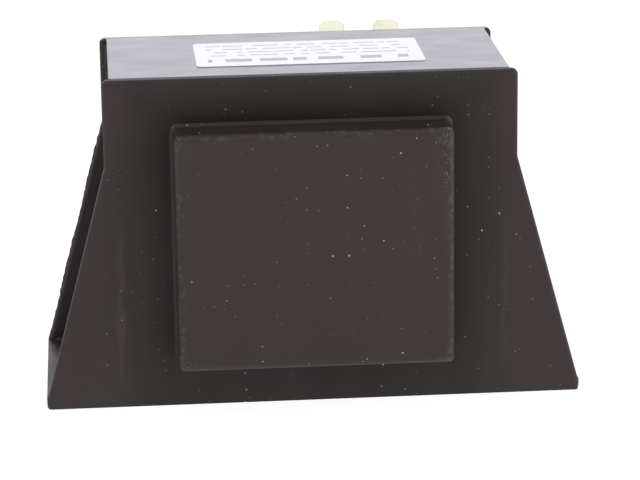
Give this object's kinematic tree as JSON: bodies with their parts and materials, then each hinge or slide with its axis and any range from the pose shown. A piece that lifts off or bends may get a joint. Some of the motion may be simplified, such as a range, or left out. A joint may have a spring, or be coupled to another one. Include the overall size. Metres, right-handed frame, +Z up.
{
  "type": "pcb transformer",
  "caption": "Encapsulated mains transformer: resin-filled moulded housing with a boxed coil cover, screw-down feet and blade terminals at the rear.",
  "frame": {"origin": "midway between the two foot holes, on the base plane", "axes": "+X along the feet, the longest way; +Z up from the base; the coil cover faces -Y and the blade terminals +Y"},
  "size_m": [0.0974, 0.0529, 0.0608],
  "materials": {
    "housing": "satin, moulded, slightly brown black",
    "resin": "cast, glossy black",
    "core_steel": "laminated electrical steel",
    "bobbin": "moulded, natural nylon",
    "copper": "enamelled copper wire",
    "film": "yellow polyester film",
    "blade": "bright rolled brass",
    "label": "coated white label"
  },
  "bodies": {
    "root": {"housing": "housing", "potting_resin": "resin", "core_e_stack": "core_steel", "core_i_stack": "core_steel", "bobbin": "bobbin", "primary_winding": "copper", "secondary_winding": "copper", "primary_tape": "film", "secondary_tape": "film", "primary_blade_a": "blade", "primary_blade_b": "blade", "secondary_blade_a": "blade", "secondary_blade_b": "blade", "primary_lead_a": "copper", "primary_lead_b": "copper", "secondary_lead_a": "copper", "secondary_lead_b": "copper", "label": "label"}
  },
  "joints": []
}
